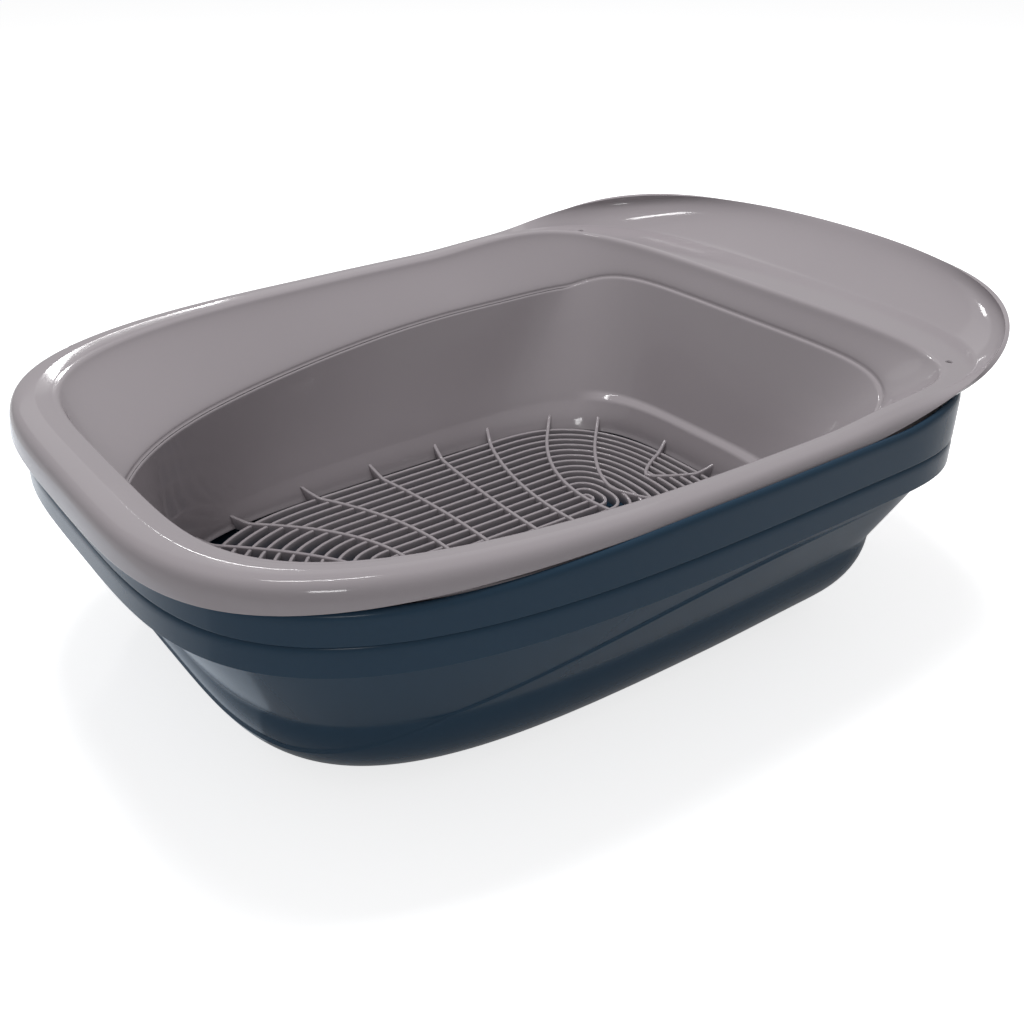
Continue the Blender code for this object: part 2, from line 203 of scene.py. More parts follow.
def hidden_side(stations, wall):
    """The far side of a wall: each station moved back along the mitre of its two sides' normals.

    With unit normals m and n before and after a station, the move is (m + n) / (1 + m . n) times the
    wall. The divisor stays at least_mitre or more, so that a sharp turn gives no spike.
    """
    grid = np.array(stations)
    round_it = np.roll(grid, -1, axis=1) - np.roll(grid, 1, axis=1)
    normals = unit(np.cross((round_it[1:] + round_it[:-1]) / 2, np.diff(grid, axis=0)))
    before = np.concatenate([normals[:1], normals])
    after = np.concatenate([normals, normals[-1:]])
    mitre = (before + after) / np.maximum(1 + (before * after).sum(axis=2, keepdims=True), least_mitre)
    return list(grid - mitre * wall)


def skin(name, grids, ends="loop"):
    """A mesh over grids of points, each closed round its rings.

    Its rows join up again with ends="loop"; with ends="fans" the first and last are closed flat.
    """
    points = []
    faces = []
    base = 0
    for grid in grids:
        rows, count = grid.shape[:2]
        index = base + np.arange(rows * count).reshape(rows, count)
        if ends == "loop":
            index = np.concatenate([index, index[:1]])
        beside = np.roll(index, -1, axis=1)
        quads = np.stack([index[:-1], beside[:-1], beside[1:], index[1:]], axis=-1)
        faces += quads.reshape(-1, 4).tolist()
        points.append(grid.reshape(-1, 3))
        base += rows * count
        if ends == "fans":
            points.append(np.array([grid[0].mean(axis=0), grid[-1].mean(axis=0)]))
            first = np.stack([beside[0], index[0], np.full(count, base)], axis=-1)
            last = np.stack([index[-1], beside[-1], np.full(count, base + 1)], axis=-1)
            faces += first.tolist() + last.tolist()
            base += 2
    mesh = bpy.data.meshes.new(name)
    mesh.from_pydata(np.concatenate(points), [], faces)
    mesh.shade_smooth()
    made = bpy.data.objects.new(name, mesh)
    bpy.context.scene.collection.objects.link(made)
    triangles = sum(len(polygon.vertices) - 2 for polygon in mesh.polygons)
    print(f"{name}: {len(mesh.vertices)} points, {triangles} triangles")
    return made


# %% [markdown]
# The two blue pans are one moulding used twice. A pan has a flat floor, a large round foot, a body
# that slopes out, and a small step out to an upright band. The upper pan's step sits on the lower
# pan's top edge, so that the two bands lie flush with a thin dark line between them.

# %% The pans' sizes
seat_gap = 0.0003
nest_gap = 0.0006
pan_wall = 0.0024
band_height = 0.0161
pan_pitch = band_height + seat_gap
band_top = 0.1440
band = (0.0062, 0.0744, -0.0036)
shoulder_inset = 0.0020
shoulder_height = 0.0036
knee = (0.0415, 0.1245, 0.0312)
floor_round = 0.056
floor_edge_share = 1.6
foot_rows = 28
body_rows = 90
shoulder_in_share = 0.35
shoulder_drop_share = 0.3
pan_reaches = (0.0020, 0.0007, 0.0020, 0.0020, 0.0007, 0.0005, 0.0001, 0.0004, 0.0015, 0.0010, 0.0010)

# The edge's upstand: how high it stands, and where each climb starts and how far it runs along x
upstand_wall = 0.0014
low_upstand = 0.0003
side_climb = 0.0067
side_stretch = (-0.235, 0.200)
corner_climb = 0.0045
corner_stretch = (0.090, 0.050)
end_stretch = (0.165, 0.030)


def eased_along(x, stretch):
    """0 before the stretch, 1 after it and a smooth step within. A stretch is its start and its run."""
    start, run = stretch
    return ease((x - start) / run)


# %% [markdown]
# Round the body of each pan runs a soft crease, which starts low at the low end: below it the body
# is a little fuller. It is a real change of surface, so it is made by moving the body's points
# outwards, and the rows of points lie close together where they cross it.

# %% The crease on the body
crease_depth = 0.0014
crease_run = 0.0018
crease_low = 0.034
crease_climb = 0.065
crease_start = -0.229
crease_length = 0.263
crease_bend = 1.6
crease_fade_end = 0.11
crease_fade_run = 0.10
crease_floor_run = 0.010
crease_row_shares = (0.44, 0.56)
crease_half_share = 0.045


def crease_line(x):
    """Height of the crease: it starts low at the low end and flattens out under the band.

    With u from 0 to 1 along its run, the height is low + climb (1 - (1 - u)^bend).
    """
    u = np.clip((x - crease_start) / crease_length, 0, 1)
    return crease_low + crease_climb * (1 - (1 - u) ** crease_bend)


def body_arc(wall):
    """The inside of the round foot: a quarter circle from the floor's edge up to the slope."""
    rows = []
    for turn in np.linspace(0, math.pi / 2, foot_rows):
        inwards = floor_round * (1 - math.sin(turn)) + wall * math.sin(turn)
        height = floor_round * (1 - math.cos(turn)) + wall * math.cos(turn)
        rows.append(station(grown(knee, inwards), floor_power, height))
    return rows


def body_point(place, under_step):
    """Points of the body's outside: place runs from 0 to 1 over the round foot and to 2 over the slope."""
    turn = np.clip(place, 0, 1) * math.pi / 2
    inset = grown(knee, floor_round * (1 - np.sin(turn)))
    foot = station(inset, floor_power, floor_round * (1 - np.cos(turn)))
    return foot + (under_step - foot) * np.clip(place - 1, 0, 1)[:, None]


def crease_place(under_step):
    """Where on the body's outside each column meets the crease. Four rounds settle x and height."""
    place = np.ones(len(under_step))
    for _ in range(4):
        middle = crease_line(body_point(place, under_step)[:, 0]) - crease_run / 2
        on_foot = np.arccos(np.clip(1 - middle / floor_round, -1, 1)) * 2 / math.pi
        on_slope = 1 + (middle - floor_round) / (under_step[:, 2] - floor_round)
        place = np.where(middle < floor_round, on_foot, on_slope)
    return place


def body_outside(under_step):
    """The outside's rows, from the floor's edge to the step, close together along the crease.

    Each column spends the share from low to high of its rows on the short stretch round its crease.
    """
    crease = crease_place(under_step)
    low, high = crease_row_shares
    half = crease_half_share
    rows = []
    for u in np.linspace(0, 1, body_rows):
        below = (crease - half) * u / low
        within = crease - half + 2 * half * (u - low) / (high - low)
        above = crease + half + (2 - crease - half) * (u - high) / (1 - high)
        rows.append(body_point(below if u < low else within if u < high else above, under_step))
    return rows


def creased(rows):
    """Moves the body's points outwards below the crease and back to nothing at the floor."""
    x, y, z = np.moveaxis(rows, -1, 0)
    below = ease((crease_line(x) - z) / crease_run)
    fade = ease((crease_fade_end - x) / crease_fade_run) * ease(z / crease_floor_run)
    outwards = unit(np.stack([x - widest_x, y, np.zeros_like(x)], axis=-1))
    return rows + outwards * (crease_depth * below * fade)[..., None]


def side_upstand(x):
    """How far the upper pan's edge stands up outside the rim: most along the sides, more at the flare."""
    climb = side_climb * eased_along(x, side_stretch) + corner_climb * eased_along(x, corner_stretch)
    return low_upstand + climb * (1 - eased_along(x, end_stretch))


def level_upstand(x):
    """The lower pan's edge stays level, because the upper pan's step sits on it."""
    return np.full_like(x, low_upstand)


def pan(name, lift, upstand):
    """One pan's skin, from the middle of its underside out, up, over its edge and in again.

    The edge is stepped: its inner half carries what hangs in the pan, and the thin upstand outside
    it hides the joint.
    """
    step = band_top - pan_pitch - band_height
    step_in = shoulder_inset + pan_wall + nest_gap
    top = step + band_height
    upright = top - shoulder_height
    mid_inset = shoulder_inset * shoulder_in_share
    mid_drop = shoulder_height * shoulder_drop_share
    floor_edge = grown(knee, floor_round * floor_edge_share)
    under_step = station(grown(band, step_in), rim_power, step)
    outside = [station(floor_edge, floor_power, 0)] + body_outside(under_step)
    outside += [
        station(band, rim_power, step),
        station(band, rim_power, lambda x: upright + upstand(x)),
        station(grown(band, mid_inset), rim_power, lambda x: top - mid_drop + upstand(x)),
        station(grown(band, shoulder_inset), rim_power, lambda x: top + upstand(x)),
        station(grown(band, shoulder_inset + upstand_wall), rim_power, lambda x: top + upstand(x)),
        station(grown(band, shoulder_inset + upstand_wall), rim_power, top),
        station(grown(band, shoulder_inset + pan_wall), rim_power, top),
        station(grown(band, pan_wall), rim_power, upright),
        station(grown(band, pan_wall), rim_power, step + pan_wall),
        station(grown(band, step_in + pan_wall), rim_power, step + pan_wall),
    ]
    inside = body_arc(pan_wall)[::-1]
    inside.append(station(floor_edge, floor_power, pan_wall))
    reaches = [0] * body_rows + list(pan_reaches) + [0] * (foot_rows + 1)
    rows = creased(rounded(outside + inside, reaches))
    rows[..., 2] += lift
    return skin(name, [rows], ends="fans")


base_pan = pan("base_pan_skin", 0, level_upstand)
litter_pan = pan("litter_pan_skin", pan_pitch, side_upstand)

# %% [markdown]
# The rim frame is what the hand touches. Its outer lip turns down, its crown swells and then rolls
# over into the inner skirt, and at one end it runs out flat as a shelf and climbs to a high flare.
# Each height along it is a function of x, so that one set of stations makes the whole sweep.

# %% The rim's sizes
edge_height = 0.1494
edge_dip = 0.0083
flare_climb = 0.0357
crown_height = 0.0066
low_end_crown = 0.0158
shelf_height = 0.1574
low_end_land = 0.0263
side_land = 0.0144
flare_land = 0.0975
flare_set_back = 0.0070
inner_roll = 0.0048
ledge_height = 0.1144
ledge_climb = 0.0094
ledge_end_climb = 0.0160
ledge_inset = (0.0346, 0.1085, 0.0545)
ledge_corner = 0.0038
frame_wall = 0.0024
dip_power = 2.3
crown_power = 1.6

# Where along the rim each change starts and how far it runs, as shares of the rim's length
dip_shares = (-0.086, 0.428)
flare_shares = (0.077, 0.454)
crown_fade_shares = (0.137, 0.205)
shelf_shares = (0.086, 0.257)
ledge_climb_shares = (-0.272, 0.366)
ledge_end_shares = (0.250, 0.100)

# The land's sections, from the rim's edge to the inner roll: how far each lies in at the low end,
# along the sides and on the flare, how much of the crown it has, and how far up the flare it stands
land_shares = (
    (0.00, 0.00, 0.012, 0.00, 1.00),
    (0.03, 0.06, 0.035, 0.55, 0.95),
    (0.13, 0.22, 0.10, 0.98, 0.72),
    (0.36, 0.45, 0.28, 1.06, 0.37),
    (0.62, 0.65, 0.52, 1.06, 0.04),
    (0.65, 0.67, 0.55, 1.06, 0.015),
    (0.68, 0.69, 0.58, 1.05, 0.00),
    (0.90, 0.90, 0.84, 0.97, 0.00),
    (1.00, 1.00, 0.96, 0.90, 0.00),
)


def stretch_of(shares):
    """A stretch along x from its shares of the rim's length."""
    return tuple(share * rim_length for share in shares)


def into_low_end(x):
    """How far x lies into the low end's dip: 0 before it and 1 after its run."""
    start, run = stretch_of(dip_shares)
    return np.clip((start - x) / run, 0, None)


def edge_line(x):
    """Height of the rim's edge: it dips at the low end and climbs to the flare."""
    climb = eased_along(x, stretch_of(flare_shares))
    return edge_height - edge_dip * into_low_end(x) ** dip_power + flare_climb * climb


def crown_line(x):
    """Height of the crown over the edge: it deepens at the low end and fades at the flare."""
    deepened = crown_height + (low_end_crown - crown_height) * into_low_end(x) ** crown_power
    return deepened * (1 - eased_along(x, stretch_of(crown_fade_shares)))


def shelf_blend(x):
    """0 along the low rim and 1 where the shelf and flare have taken over."""
    return eased_along(x, stretch_of(shelf_shares))


def ledge_line(x):
    """Height of the ledge: it climbs a little along the sides, and more at the flare's corners."""
    climb = eased_along(x, stretch_of(ledge_climb_shares))
    end_climb = eased_along(x, stretch_of(ledge_end_shares))
    return ledge_height + ledge_climb * climb + ledge_end_climb * end_climb


def mixed(first, second, share):
    """Each entry of first and second mixed, second counting for share."""
    return tuple(a + (b - a) * share for a, b in zip(first, second))


def land_station(low, side, flare, crown, rise):
    """One station of the rim's land, with its insets, powers and height function."""
    reach = flare_set_back + flare * (flare_land - flare_set_back)
    inset = (low * low_end_land, reach, side * side_land)

    def height(x):
        along_rim = edge_line(x) + crown_line(x) * crown
        on_flare = shelf_height + (edge_line(x) - shelf_height) * rise
        return along_rim + (on_flare - along_rim) * shelf_blend(x)

    return inset, mixed(rim_power, inner_power, side), height


# %% [markdown]
# The frame's upper side is one sweep: over the land, round the inner roll and down the skirt to a
# narrow hem that rests on the sieve tray's ledge. Its far side follows from the wall.

# %% The rim frame
roll_shares = ((0.10, 0.02), (0.72, 0.20), (1.00, 1.15))
hem_steps = ((0.0016, 0.0040), (0.0018, 0.0018), (0.0021, 0.0010), (0.0030, 0.0004))
hem_gap = 0.0002
lip_reach = 0.0009
hem_reach = 0.0001
sweep_steps = 6

land = [land_station(*shares) for shares in land_shares]
land_inset, land_power, land_height = land[-1]
roll = [
    (grown(land_inset, inner_roll * run), land_power, lambda x, drop=drop: land_height(x) - inner_roll * drop)
    for run, drop in roll_shares
]
skirt_foot = grown(ledge_inset, -ledge_corner)
hem = [
    (grown(skirt_foot, inwards), skirt_power, lambda x, up=up: ledge_line(x) + up)
    for inwards, up in hem_steps
]
rim_rows = swept([station(*section) for section in land + roll + hem[:2]], sweep_steps)
rim_rows += [station(*section) for section in hem[2:]]
hidden_rows = hidden_side(rim_rows, frame_wall)
for row in hidden_rows:
    row[:, 2] = np.maximum(row[:, 2], ledge_line(row[:, 0] - centre_shift) + hem_gap)
rim_reaches = [lip_reach] + [0] * (len(rim_rows) - 2) + [hem_reach]
rim_loop = rounded(rim_rows + hidden_rows[::-1], rim_reaches + rim_reaches[::-1], loop=True)
rim_frame = skin("rim_frame_skin", [rim_loop])

# %% [markdown]
# Four small round holes go through the rim. Each is cut with a short rod, because a hole is narrower
# than the spaces of the grid. The cut is made once and its result kept, so that no modifier stays.

# %% The rim's small holes
hole_radius = 0.0020
hole_points = 24
rod_ends = (0.138, 0.174)
hole_shares = ((-0.781, 0.804), (-0.709, -0.899), (0.620, -0.829), (0.620, 0.829))


def cut_holes(made):
    """Takes a rod out of the skin at each hole's place."""
    rods = []
    for along, across in hole_shares:
        turn = np.linspace(0, 2 * math.pi, hole_points, endpoint=False)
        x = along * rim_length / 2 + centre_shift + hole_radius * np.cos(turn)
        y = across * rim_width / 2 + hole_radius * np.sin(turn)
        rods.append(np.stack([np.column_stack([x, y, np.full_like(x, z)]) for z in rod_ends]))
    cutter = skin("hole_rods", rods, ends="fans")
    cut = made.modifiers.new("holes", "BOOLEAN")
    cut.operation = "DIFFERENCE"
    cut.solver = "EXACT"
    cut.object = cutter
    graph = bpy.context.evaluated_depsgraph_get()
    kept = bpy.data.meshes.new_from_object(made.evaluated_get(graph))
    made.modifiers.clear()
    made.data = kept
    bpy.data.objects.remove(cutter)
    print("holes cut:", len(hole_shares))


cut_holes(rim_frame)

# %% [markdown]
# The sieve tray hangs in the upper pan by a thin flange, with a lift tab at the flared end. Its wall
# drops behind the frame's skirt, comes in as the ledge that carries the frame, and slopes down to
# the grille. Here the visible side is worked out first, and its far side follows from the wall.

# %% The sieve tray's wall
sieve_wall = 0.0017
grille_height = 0.035
grille_width = 0.227
grille_low_reach = 0.198
grille_flare_reach = 0.1655
grille_x = -0.0342 * rim_length
grille_power = (4.4, 3.6)
foot_run_in = 0.0012
foot_drop = 0.0030
flange_in = 0.0019
flange_lip = 0.0025
skirt_room = 0.0041
ledge_room = 0.0035
tab_reach = 0.0100
tab_rise = 0.0050
tab_shares = (0.315, 0.050)
tab_half_width = 0.115
tab_side_run = 0.030
shelf_stretch = (0.116, 0.030)
sieve_reaches = (0.0007, 0.0006, 0.0010, 0.0009, 0.0016, 1.0, 0.0016, 0.0016, 1.0, 0.0012, 0.0006)

# Shares of the wall's run and drop from the ledge to the grille, and what the flared end adds to
# them: there the wall has a narrow shelf over its foot
wall_shares = (
    (0.48, 0.50, -0.02, -0.02),
    (0.76, 0.77, -0.03, 0.010),
    (0.82, 0.83, 0.04, -0.022),
    (0.94, 0.93, 0.02, -0.01),
)


def end_values(ahead, low_and_flare):
    """The flared end's value where ahead, and the low end's elsewhere."""
    return np.where(ahead, low_and_flare[1], low_and_flare[0])


def grille_edge(margin):
    """The grille's edge drawn in by margin: a superellipse with a reach and a power for each end."""
    ahead = np.cos(turns) > 0
    reach = end_values(ahead, (grille_low_reach, grille_flare_reach)) - margin
    power = end_values(ahead, grille_power)
    x = grille_x + reach * powered(np.cos(turns), power)
    y = (grille_width / 2 - margin) * powered(np.sin(turns), power)
    return np.column_stack([x + centre_shift, y])


def sieve_stations():
    """The tray's upper side, from the flange's edge to the foot of its wall."""
    seat = grown(band, shoulder_inset + flange_in)
    tab = (seat[0], band[1] - tab_reach, seat[2])
    flange_top = band_top + nest_gap + sieve_wall
    level = station(skirt_foot, skirt_power, ledge_line)[:, 2]
    edge = station(seat, rim_power, flange_top)
    tab_stretch = stretch_of(tab_shares)
    lift_tab = station(tab, rim_power, lambda x: flange_top + tab_rise * eased_along(x, tab_stretch))
    middle = ease((tab_half_width - np.abs(edge[:, 1])) / tab_side_run)[:, None] * (edge[:, :1] > 0)
    rows = [
        edge + (lift_tab - edge) * middle,
        station(grown(seat, flange_lip), rim_power, flange_top),
        station(grown(roll[-1][0], -skirt_room), land_power, flange_top),
        station(grown(skirt_foot, -ledge_room), skirt_power, level),
        station(ledge_inset, skirt_power, level),
    ]
    ledge = rows[-1]
    foot = np.column_stack([grille_edge(0), np.full(len(turns), grille_height)])
    flared = eased_along(foot[:, 0], shelf_stretch)
    for inwards, drop, more_inwards, more_drop in wall_shares:
        run = inwards + more_inwards * flared
        rows.append(ledge + (foot - ledge) * np.column_stack([run, run, drop + more_drop * flared]))
    under = np.full(len(turns), grille_height - foot_drop)
    rows += [foot, np.column_stack([grille_edge(foot_run_in), under])]
    return rows


sieve_rows = sieve_stations()
sieve_loop = sieve_rows + hidden_side(sieve_rows, sieve_wall)[::-1]
sieve_grid = rounded(sieve_loop, sieve_reaches + sieve_reaches[::-1], loop=True)
sieve_tray = skin("sieve_tray_skin", [sieve_grid])

# %% [markdown]
# The grille's slats are rings, each inside the last, with straight sides and round ends like a
# running track. A slat is a small section carried round a plan curve: softly rounded on top, deep,
# and narrower below, so that what falls through never jams.

# %% The slats
slat_width = 0.0023
slat_depth = 0.0085
loop_count = 13
loop_pitch = 0.0085
first_gap = 0.0062
loop_straight = 0.144
loop_power = (2.7, 2.6)
outer_points = 200
fewer_points = 10
bar_section = np.array([
    (0.50, -0.09), (0.38, -0.02), (0.14, 0.0), (-0.14, 0.0), (-0.38, -0.02), (-0.50, -0.09),
    (-0.44, -0.45), (-0.26, -0.92), (-0.12, -1.0), (0.12, -1.0), (0.26, -0.92), (0.44, -0.45),
])


def slat_path(margin, turn):
    """A slat's route: its sides lie margin inside the grille's edge.

    Each end reaches out from the end of the straight by its own superellipse, drawn in by the share
    1 - margin / half width, so that the rings crowd a little at the ends.
    """
    share = 1 - margin / (grille_width / 2)
    ahead = np.cos(turn) > 0
    reach = end_values(ahead, (grille_low_reach, grille_flare_reach)) - loop_straight / 2
    power = end_values(ahead, loop_power)
    round_end = reach * share * powered(np.cos(turn), power)
    x = grille_x + np.sign(np.cos(turn)) * loop_straight / 2 + round_end
    y = grille_width / 2 * share * powered(np.sin(turn), power)
    return np.column_stack([x + centre_shift, y])


def ring_bar(path, width, depth):
    """A bar carried round a closed plan path: sideways is the path's own normal, and down is -Z."""
    ahead = unit(np.roll(path, -1, axis=0) - np.roll(path, 1, axis=0))
    aside = np.column_stack([ahead[:, 1], -ahead[:, 0]])
    plan = path[None] + aside[None] * (bar_section[:, :1, None] * width)
    height = grille_height + bar_section[:, 1] * depth
    return np.concatenate([plan, np.broadcast_to(height[:, None, None], plan.shape[:2] + (1,))], axis=2)


def slat_rings():
    """The grid of every slat, outermost first."""
    for index in range(loop_count):
        count = outer_points - fewer_points * index
        turn = np.linspace(0, 2 * math.pi, count, endpoint=False) + math.pi / count
        margin = first_gap + index * loop_pitch + slat_width / 2
        yield ring_bar(slat_path(margin, turn), slat_width, slat_depth)


slats = skin("sieve_slats", list(slat_rings()))

# %% [markdown]
# Ribs cross the slats and tie them to the wall. Six fan out across the grille, and two arch round
# each end. Each one stands a little over the slats, and rises at its ends as a fin on the wall.

# %% The ribs
rib_width = 0.0026
rib_rise = 0.0010
rib_end_depth = 0.0042
fin_rise = 0.0070
fin_run = 0.0120
fin_reach = 0.0030
fin_power = 1.3
rib_foot_run = 0.018
rib_points = 96
path_points = 1601
rib_end_share = 1.03
path_end_share = 1.02

# How far from the middle each rib lies, as shares of the grille's reach at the flare: at its middle,
# and at the grille's edge towards the low end and towards the flare
rib_shares = ((0.103, 0.175, 0.150), (0.260, 0.500, 0.430), (0.423, 0.880, 0.800))

# How far out each arch's crown lies, and how wide it opens, as a share of the grille's half width
arch_shares = ((0.570, 0.880), (0.767, 0.230))
arch_end_share = 1.04
arch_power = 1.5


def rib_path(x, y):
    """The stretch of a plan path that lies inside the grille, spaced evenly."""
    ahead = x > grille_x
    along = np.abs(x - grille_x) / end_values(ahead, (grille_low_reach, grille_flare_reach))
    across = np.abs(y) * 2 / grille_width
    power = end_values(ahead, grille_power)
    kept = along**power + across**power <= rib_end_share
    path = np.column_stack([x[kept] + centre_shift, y[kept]])
    travelled = np.concatenate([[0], np.cumsum(np.linalg.norm(np.diff(path, axis=0), axis=1))])
    wanted = np.linspace(0, travelled[-1], rib_points)
    return np.column_stack([np.interp(wanted, travelled, path[:, k]) for k in (0, 1)])


def rib_bar(path):
    """A rib: the bar's section carried along an open path, shallower and lifted towards its ends.

    At an end the top leans out with the wall above the grille, and the foot leans in with the wall
    below it.
    """
    ahead = unit(np.gradient(path, axis=0))
    aside = np.column_stack([ahead[:, 1], -ahead[:, 0]])
    travelled = np.concatenate([[0], np.cumsum(np.linalg.norm(np.diff(path, axis=0), axis=1))])
    from_end = np.minimum(travelled, travelled[-1] - travelled)
    near_end = np.clip(1 - from_end / fin_run, 0, 1) ** fin_power
    outwards = ahead * np.where(travelled < travelled[-1] / 2, -1, 1)[:, None]
    top = grille_height + rib_rise + fin_rise * near_end
    foot = grille_height - slat_depth + (slat_depth - rib_end_depth) * (1 - ease(from_end / rib_foot_run))
    down = -bar_section[None, :, 1]
    lean = near_end[:, None] * (fin_reach * (1 - down) - foot_run_in * down)
    plan = path[:, None] + aside[:, None] * (bar_section[None, :, :1] * rib_width)
    plan = plan + outwards[:, None] * lean[..., None]
    height = top[:, None] - (top - foot)[:, None] * down
    return np.concatenate([plan, height[..., None]], axis=2)[:, ::-1]


def rib_paths():
    """Plan paths, the ribs first and then the arches.

    With v from 0 in the middle to 1 at the grille's side, a rib lies middle + (edge - middle) v^2
    away from the middle, and an arch crown + (end - crown) (v / opening)^1.5.
    """
    wide = grille_width / 2
    y = np.linspace(-wide * path_end_share, wide * path_end_share, path_points)
    for middle, low_edge, flare_edge in rib_shares:
        for side, edge in ((-1, low_edge), (1, flare_edge)):
            bow = (middle + (edge - middle) * (np.abs(y) / wide) ** 2) * grille_flare_reach
            yield rib_path(grille_x + side * bow, y)
    for crown, opening in arch_shares:
        spread = (np.abs(y) / (wide * opening)) ** arch_power
        bow = (crown + spread * (arch_end_share - crown)) * grille_flare_reach
        yield from (rib_path(grille_x + side * bow, y) for side in (-1, 1))


ribs = skin("sieve_ribs", [rib_bar(path) for path in rib_paths()], ends="fans")

# %% [markdown]
# A finish is a small network of nodes. Written as Python, its arithmetic stays readable: the class
# below wraps a socket, so that adding or multiplying sockets adds the Math nodes that do it.

# %% A socket that can be reckoned with
class Wire:
    """One output socket of a material's nodes. +, - and * on it add a Math node and give a new Wire."""

    def __init__(self, bench, socket):
        self.bench = bench
        self.socket = socket

    def reckon(self, operation, first, second):
        return self.bench.add("ShaderNodeMath", {"operation": operation}, {0: first, 1: second})

    def __add__(self, other):
        return self.reckon("ADD", self, other)

    def __sub__(self, other):
        return self.reckon("SUBTRACT", self, other)

    def __rsub__(self, other):
        return self.reckon("SUBTRACT", other, self)

    def __mul__(self, other):
        return self.reckon("MULTIPLY", self, other)

    __radd__ = __add__
    __rmul__ = __mul__


class Bench:
    """The node tree that a finish is built in."""

    def __init__(self, tree):
        self.tree = tree

    def add(self, kind, settings=None, sockets=None, output=0):
        """Adds a node: its settings first, then the values or wires of its sockets."""
        node = self.tree.nodes.new(kind)
        for name, value in (settings or {}).items():
            setattr(node, name, value)
        for name, value in (sockets or {}).items():
            if isinstance(value, Wire):
                self.tree.links.new(value.socket, node.inputs[name])
            else:
                node.inputs[name].default_value = value
        return Wire(self, node.outputs[output])


# %% [markdown]
# Moulded plastic is never quite even. Its colour drifts by a few percent, its gloss is broken by
# fine wear, and its surface has a very slight ripple that bends the reflections of the lamps. All of
# that comes from noise on the object's own coordinates, at the sizes that the real surface shows.

# %% The plastic finish
drift_scale = 9.0
wear_scale = 38.0
grain_scale = 420.0
grain_share = 0.2
gloss_spread = 0.10
ripple_strength = 0.10
ripple_grain = 0.4


def plastic(name, colour, deep, roughness, ripple, shine):
    """A glossy moulded plastic: colour drifts towards deep, and gloss and level vary a little."""
    material = bpy.data.materials.new(name)
    material.use_nodes = True
    bench = Bench(material.node_tree)
    shader = material.node_tree.nodes["Principled BSDF"]
    place = bench.add("ShaderNodeTexCoord", output="Object")
    drift = bench.add("ShaderNodeTexNoise", None, {"Vector": place, "Scale": drift_scale, "Detail": 3.0})
    grain = bench.add("ShaderNodeTexNoise", None, {"Vector": place, "Scale": grain_scale, "Detail": 2.0})
    wear = bench.add("ShaderNodeTexNoise", None, {"Vector": place, "Scale": wear_scale, "Detail": 6.0})
    blend = drift * (1 - grain_share) + grain * grain_share
    mixed_colour = bench.add(
        "ShaderNodeMix",
        {"data_type": "RGBA"},
        {"Factor": blend, 6: (*deep, 1.0), 7: (*colour, 1.0)},
        output=2,
    )
    gloss = wear * gloss_spread + (roughness - gloss_spread / 2)
    level = wear + grain * ripple_grain
    bump = bench.add(
        "ShaderNodeBump", None, {"Strength": ripple_strength, "Distance": ripple, "Height": level}
    )
    bench.tree.links.new(mixed_colour.socket, shader.inputs["Base Color"])
    bench.tree.links.new(gloss.socket, shader.inputs["Roughness"])
    bench.tree.links.new(bump.socket, shader.inputs["Normal"])
    shader.inputs["Specular IOR Level"].default_value = shine
    material.diffuse_color = (*colour, 1.0)
    print("finish:", name)
    return material


blue_plastic = plastic("blue_plastic", (0.024, 0.052, 0.086), (0.021, 0.045, 0.075), 0.18, 0.0002, 0.13)
grey_plastic = plastic("grey_plastic", (0.335, 0.305, 0.322), (0.310, 0.281, 0.298), 0.09, 0.0001, 0.40)

# %% [markdown]
# Each skin takes its finish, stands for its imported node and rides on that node's body, so that it
# moves with it when the trays are lifted apart.

# %% Skins on their bodies
dressed = (
    (base_pan, blue_plastic, "base", "base_pan", "blue_plastic"),
    (litter_pan, blue_plastic, "litter", "litter_pan", "blue_plastic"),
    (sieve_tray, grey_plastic, "sieve", "sieve_tray", "grey_plastic"),
    (slats, grey_plastic, "sieve", "sieve_tray", "grey_plastic"),
    (ribs, grey_plastic, "sieve", "sieve_tray", "grey_plastic"),
    (rim_frame, grey_plastic, "frame", "rim_frame", "grey_plastic"),
)
for made, finish, body, node, slot in dressed:
    made.data.materials.clear()
    made.data.materials.append(finish)
    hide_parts(node)
    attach(made, body)
print("skins on bodies:", len(dressed))

# %% [markdown]
# The studio is a wide pale floor under soft lamps. For the rays that show the background the floor
# also glows, so that it reaches white in the picture and still keeps the box's soft shadow. Mirrored
# rays see only a share of that glow, which would otherwise turn the lower body pale.

# %% The floor
mirror_share = 0.15
floor_glow = 0.70
floor_colour = (0.82, 0.82, 0.83, 1)
floor_reach = 9
floor_level = -0.0005


def background_rays(bench):
    """1 for rays that show the background, from the camera or through glass, and a share if mirrored."""
    paths = bench.tree.nodes.new("ShaderNodeLightPath")
    camera_ray, mirrored, through = (
        Wire(bench, paths.outputs[f"Is {kind} Ray"]) for kind in ("Camera", "Glossy", "Transmission")
    )
    return camera_ray + through + mirrored * mirror_share


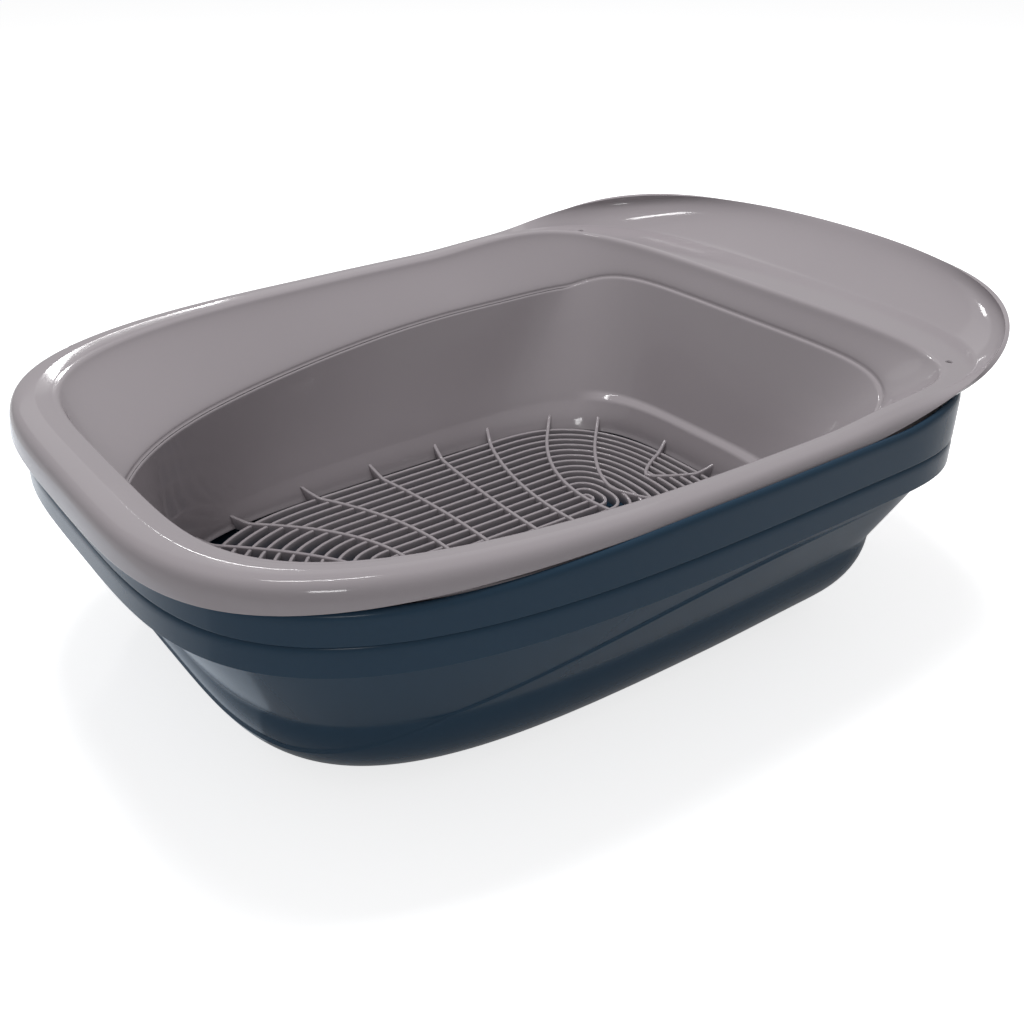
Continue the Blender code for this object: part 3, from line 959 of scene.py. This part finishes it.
floor_mesh = bpy.data.meshes.new("floor")
floor_corners = [
    (side * floor_reach, end * floor_reach, floor_level)
    for side, end in ((-1, -1), (1, -1), (1, 1), (-1, 1))
]
floor_mesh.from_pydata(floor_corners, [], [(0, 1, 2, 3)])
floor = bpy.data.objects.new("floor", floor_mesh)
bpy.context.scene.collection.objects.link(floor)
floor_finish = bpy.data.materials.new("pale_floor")
floor_finish.use_nodes = True
floor_bench = Bench(floor_finish.node_tree)
floor_finish.node_tree.nodes.clear()
glow_strength = background_rays(floor_bench) * floor_glow
glow = floor_bench.add("ShaderNodeEmission", None, {"Color": (1, 1, 1, 1), "Strength": glow_strength})
paper = floor_bench.add("ShaderNodeBsdfDiffuse", None, {"Color": floor_colour})
both = floor_bench.add("ShaderNodeAddShader", None, {0: paper, 1: glow})
target = floor_finish.node_tree.nodes.new("ShaderNodeOutputMaterial")
floor_finish.node_tree.links.new(both.socket, target.inputs["Surface"])
floor.data.materials.append(floor_finish)
floor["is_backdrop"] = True

# %% [markdown]
# The world is white where the background is seen. For the light on the box it is dimmer, so that the
# insides of the trays stay darker than the rim.

# %% The world
fill_strength = 0.30
world = bpy.data.worlds.new("studio")
bpy.context.scene.world = world
world.use_nodes = True
sky = Bench(world.node_tree)
strength = background_rays(sky) * (1 - fill_strength) + fill_strength
back = world.node_tree.nodes["Background"]
back.inputs["Color"].default_value = (1, 1, 1, 1)
world.node_tree.links.new(strength.socket, back.inputs["Strength"])

# %% [markdown]
# One large lamp overhead gives most of the light and stays out of the reflections. The others are
# small or weak, and are there to be mirrored in the plastic as the bright panes of a studio. A faint
# bluish lamp lies flat on the floor beyond the low end and lifts the left side of the pans.

# %% The lamps
def softbox(name, place, aim, size, power, colour=(1, 1, 1)):
    """A flat rectangular lamp at place that faces aim."""
    lamp = bpy.data.lights.new(name, "AREA")
    lamp.shape = "RECTANGLE"
    lamp.size, lamp.size_y = size
    lamp.energy = power
    lamp.color = colour
    made = bpy.data.objects.new(name, lamp)
    bpy.context.scene.collection.objects.link(made)
    made.location = place
    direction = np.array(aim) - np.array(place)
    yaw = math.atan2(direction[1], direction[0])
    pitch = math.atan2(direction[2], math.hypot(direction[0], direction[1]))
    made.rotation_euler = (math.pi / 2 + pitch, 0, yaw - math.pi / 2)
    return made


key = softbox("key", (0.15, 0.35, 1.90), (0, 0, 0.1), (0.8, 0.6), 23)
key.visible_glossy = False
softbox("back_panel", (0.55, 1.55, 1.15), (0, 0, 0.12), (1.8, 0.6), 1.3)
softbox("roof_pane", (0.10, 0.70, 1.75), (0, 0, 0.1), (0.50, 0.08), 3)
softbox("back_window", (0.42, 1.40, 1.00), (0, 0, 0.12), (0.22, 0.12), 2)
softbox("front_pane", (-0.95, -1.20, 1.00), (0, 0, 0.1), (0.34, 0.22), 3)
table_place = (-0.41, 0.24, 0.001)
table_aim = (-0.41, 0.24, 0.1)
table_glow = softbox("table_glow", table_place, table_aim, (0.62, 0.36), 0.30, (0.74, 0.86, 1.0))
table_glow.visible_camera = False
print("lamps:", len(bpy.data.lights))

# %% [markdown]
# The camera stands where the photographer's did. Its place, direction and lens were worked out from
# the outlines in the picture, so that the box fills the frame in the same way.

# %% The camera
focal_pixels = 1188.43
centre_pixels = (484.03, 498.67)
image_pixels = 1024
camera_place = (-0.42141 + centre_shift, -0.53135, 0.42391)
forward = unit(np.array([0.51535, 0.70818, -0.48259]))
right = unit(np.cross(forward, [0, 0, 1]))
up = np.cross(right, forward)
lens = bpy.data.cameras.new("photo_camera")
lens.sensor_width = 36
lens.lens = focal_pixels * lens.sensor_width / image_pixels
lens.shift_x = (image_pixels / 2 - centre_pixels[0]) / image_pixels
lens.shift_y = (centre_pixels[1] - image_pixels / 2) / image_pixels
camera = bpy.data.objects.new("photo_camera", lens)
bpy.context.scene.collection.objects.link(camera)
camera.rotation_mode = "QUATERNION"
pose = np.eye(4)
pose[:3, :3] = np.column_stack([right, up, -forward])
pose[:3, 3] = camera_place
camera.matrix_world = Matrix(pose.tolist())
bpy.context.scene.camera = camera
bpy.context.scene.view_settings.view_transform = "Standard"

# %% [markdown]
# Last come the two boxes on record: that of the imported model, and that of the skins, which has to
# lie inside it.

# %% The two boxes on record, and the end
boxes = {
    "cad": [list(corner) for corner in cad_box],
    "visual": [list(corner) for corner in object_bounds()],
}
print("visual size in mm:", [round((b - a) * 1000, 1) for a, b in zip(*boxes["visual"])])
